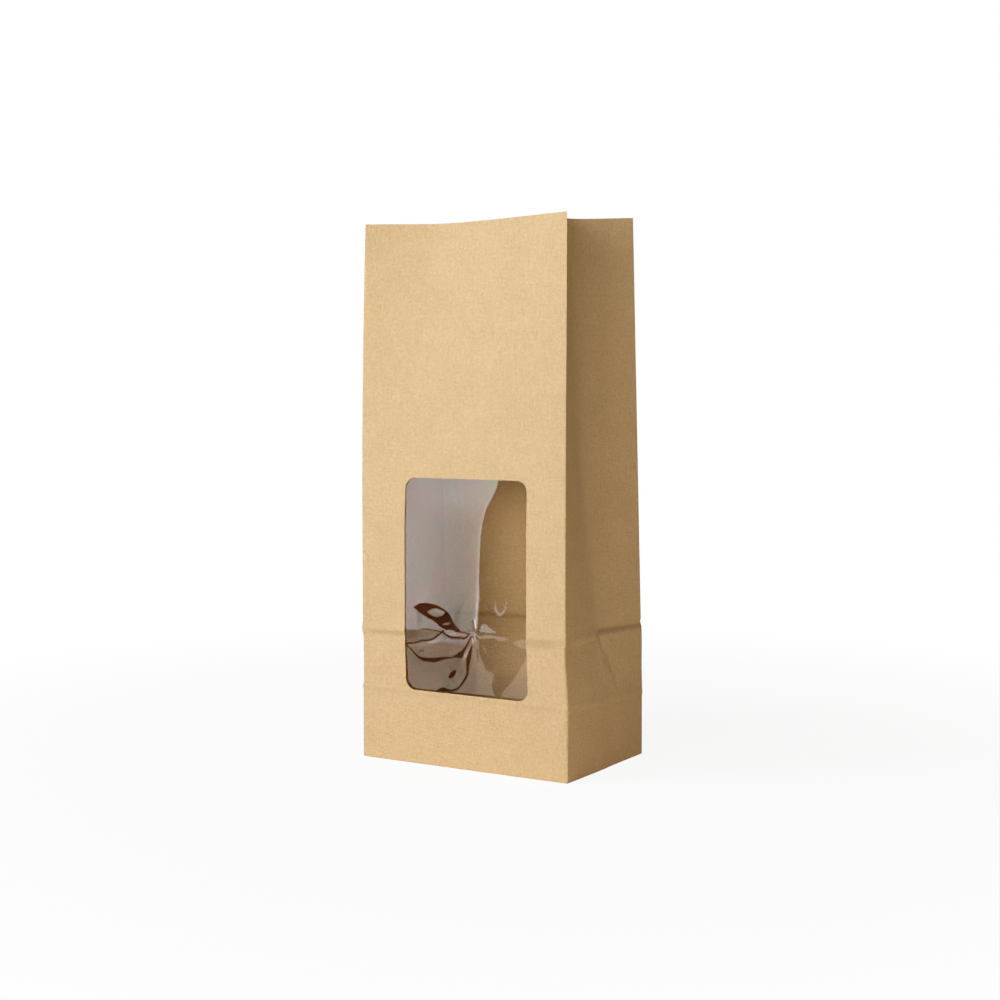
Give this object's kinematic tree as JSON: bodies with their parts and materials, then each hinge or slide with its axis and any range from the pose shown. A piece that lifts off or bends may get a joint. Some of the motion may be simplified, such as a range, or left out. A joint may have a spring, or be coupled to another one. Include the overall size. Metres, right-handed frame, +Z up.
{
  "type": "paper bag with window",
  "caption": "Block-bottom kraft paper bag with side gussets and a rounded clear film window low in its front panel, standing open and empty.",
  "frame": {"origin": "middle of the flat base, on its underside", "axes": "+Z up through the mouth, -Y out of the front panel with the window, +X to the right as the front is seen"},
  "size_m": [0.12, 0.0822, 0.2743],
  "materials": {
    "kraft_paper": "uncoated, matt, fine mottled fibre",
    "clear_film": "thin clear plastic film, glossy, creased"
  },
  "bodies": {
    "root": {"paper_bag": "kraft_paper", "window_film": "clear_film"}
  },
  "joints": []
}
